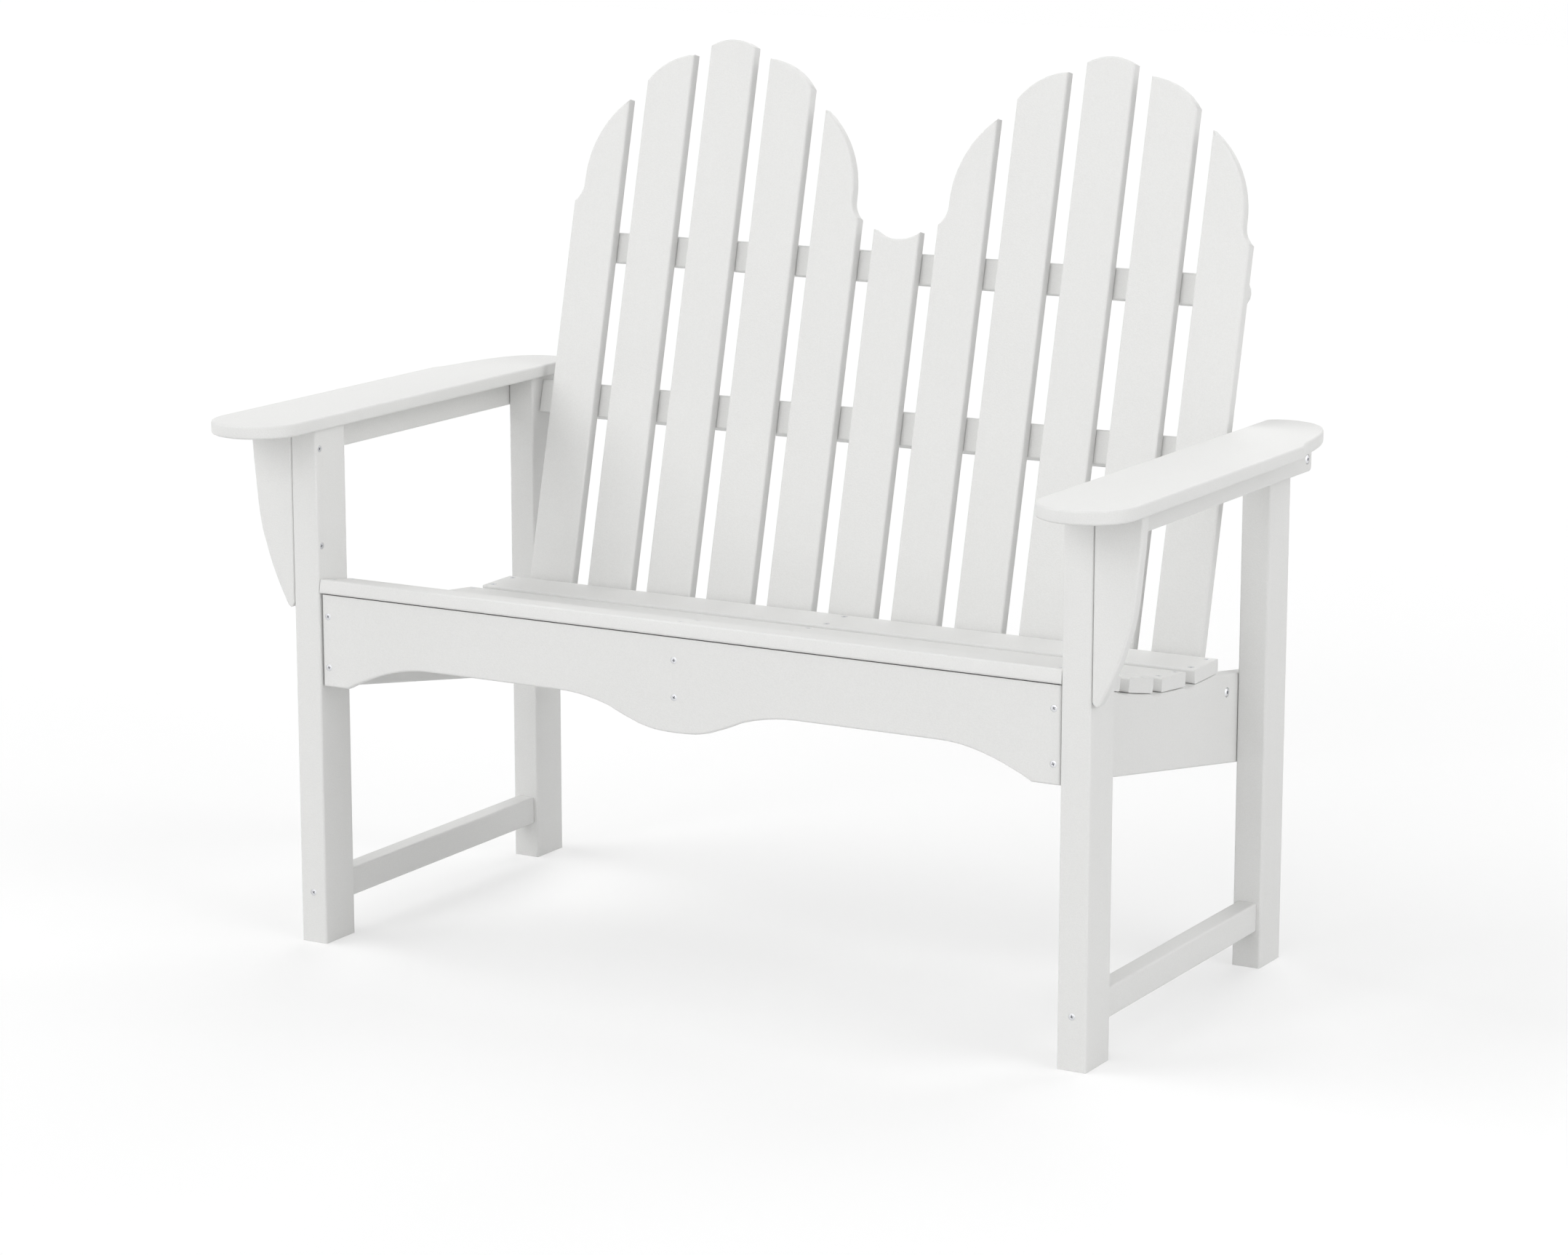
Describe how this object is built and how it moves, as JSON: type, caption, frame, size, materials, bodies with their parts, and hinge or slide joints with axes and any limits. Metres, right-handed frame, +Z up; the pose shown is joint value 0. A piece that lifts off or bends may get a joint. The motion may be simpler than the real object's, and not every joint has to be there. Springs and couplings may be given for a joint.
{
  "type": "adirondack loveseat",
  "caption": "Two-seat slatted garden bench with twin fan-topped back, wide flat arms on brackets, contoured slatted seat and shaped front apron.",
  "frame": {"origin": "centre of the underside of the bounding box, on the floor", "axes": "+X along the seat towards the sitter's left, +Y from the front apron towards the back, +Z up"},
  "size_m": [1.2094, 0.7003, 1.0683],
  "materials": {
    "lumber": "white plastic lumber, matte, with a fine moulded grain",
    "fasteners": "stainless steel screws and bolts, dull satin"
  },
  "bodies": {
    "root": {"leg_front_left": "lumber", "leg_front_right": "lumber", "leg_back_left": "lumber", "leg_back_right": "lumber", "stretcher_left": "lumber", "stretcher_right": "lumber", "under_arm_rail_left": "lumber", "under_arm_rail_right": "lumber", "arm_left": "lumber", "arm_right": "lumber", "arm_bracket_left": "lumber", "arm_bracket_right": "lumber", "front_apron": "lumber", "seat_rail_left": "lumber", "seat_rail_centre": "lumber", "seat_rail_right": "lumber", "seat_slat_1": "lumber", "seat_slat_2": "lumber", "seat_slat_3": "lumber", "seat_slat_4": "lumber", "seat_slat_5": "lumber", "back_slat_01": "lumber", "back_slat_02": "lumber", "back_slat_03": "lumber", "back_slat_04": "lumber", "back_slat_05": "lumber", "back_slat_06": "lumber", "back_slat_07": "lumber", "back_slat_08": "lumber", "back_slat_09": "lumber", "back_slat_10": "lumber", "back_slat_11": "lumber", "back_rail_upper": "lumber", "back_rail_middle": "lumber", "back_rail_lower": "lumber", "stretcher_screw_front_left": "fasteners", "stretcher_screw_front_right": "fasteners", "stretcher_screw_back_left": "fasteners", "stretcher_screw_back_right": "fasteners", "bracket_screw_left_1": "fasteners", "bracket_screw_left_2": "fasteners", "bracket_screw_right_1": "fasteners", "bracket_screw_right_2": "fasteners", "arm_screw_left_1": "fasteners", "arm_screw_left_2": "fasteners", "arm_screw_right_1": "fasteners", "arm_screw_right_2": "fasteners", "apron_screw_left_1": "fasteners", "apron_screw_left_2": "fasteners", "apron_screw_centre_1": "fasteners", "apron_screw_centre_2": "fasteners", "apron_screw_right_1": "fasteners", "apron_screw_right_2": "fasteners", "arm_bolt_left": "fasteners", "arm_bolt_right": "fasteners", "seat_bolt_left": "fasteners", "seat_bolt_right": "fasteners"}
  },
  "joints": []
}
